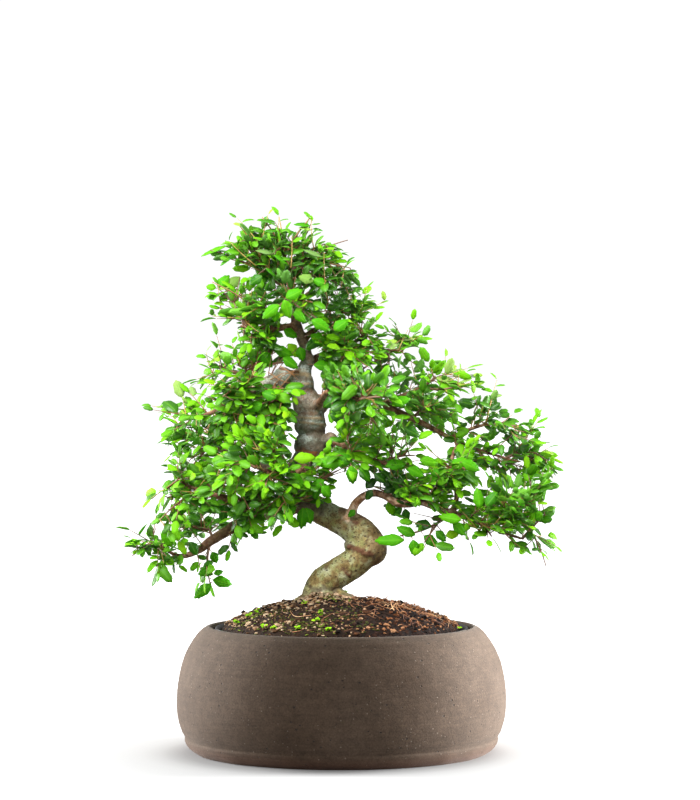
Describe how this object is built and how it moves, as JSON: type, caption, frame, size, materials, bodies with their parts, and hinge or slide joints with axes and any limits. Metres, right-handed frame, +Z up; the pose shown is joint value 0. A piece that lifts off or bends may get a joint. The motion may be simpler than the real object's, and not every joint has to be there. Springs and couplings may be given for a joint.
{
  "type": "potted elm bonsai",
  "caption": "Small elm bonsai with an S-shaped trunk and leafy branchlets, planted in a round, brown stoneware pot that stands on its flat foot.",
  "frame": {"origin": "middle of the pot's flat foot, on the surface that it stands on", "axes": "+Z up along the tree, +X to the right of the front view, -Y towards the viewer in front"},
  "size_m": [0.2999, 0.234, 0.3581],
  "materials": {
    "stoneware": "unglazed, matt, with fine specks and throwing lines",
    "black_plastic": "matt",
    "soil": "rough, crumbly and dry on top",
    "bark": "rough grey-brown bark with darker lenticels",
    "leaf": "half-gloss green leaves on thin brown stems"
  },
  "bodies": {
    "root": {"pot": "stoneware", "grow_pot": "black_plastic", "soil": "soil", "trunk": "bark", "spray_crown_peak_left": "leaf", "spray_crown_peak": "leaf", "spray_crown_peak_right": "leaf", "spray_crown_left": "leaf", "spray_crown_right": "leaf", "spray_crown_front_left": "leaf", "spray_crown_front": "leaf", "spray_crown_back": "leaf", "spray_shoulder_tip": "leaf", "spray_shoulder_front": "leaf", "spray_shoulder_back": "leaf", "spray_right_fork_tip": "leaf", "spray_right_fork_front": "leaf", "spray_front_high_tip": "leaf", "spray_right_far_tip": "leaf", "spray_right_far_top": "leaf", "spray_right_high_front": "leaf", "spray_right_high_back": "leaf", "spray_right_high_tip": "leaf", "spray_right_mid_tip": "leaf", "spray_right_mid_root": "leaf", "spray_right_low_tip": "leaf", "spray_right_low_under": "leaf", "spray_right_low_droop": "leaf", "spray_right_low_outer": "leaf", "spray_right_rise_front": "leaf", "spray_right_low_inner": "leaf", "spray_right_rise_tip": "leaf", "spray_right_low_back": "leaf", "spray_right_low_root": "leaf", "spray_front_mid_root": "leaf", "spray_back_low_tip": "leaf", "spray_back_high_tip": "leaf", "spray_left_fork_tip": "leaf", "spray_left_fork_top": "leaf", "spray_left_high_tip": "leaf", "spray_left_high_front": "leaf", "spray_left_high_root": "leaf", "spray_left_mid_tip": "leaf", "spray_left_mid_back": "leaf", "spray_left_mid_front": "leaf", "spray_front_mid_tip": "leaf", "spray_front_mid_under": "leaf", "spray_front_mid_top": "leaf", "spray_left_low_tip": "leaf", "spray_left_low_front": "leaf", "spray_left_low_top": "leaf", "spray_left_low_under": "leaf", "spray_left_low_root": "leaf", "spray_left_end_tip": "leaf", "spray_left_end_under": "leaf", "spray_left_hanging": "leaf", "spray_left_end_back": "leaf", "spray_left_end_front": "leaf"}
  },
  "joints": []
}
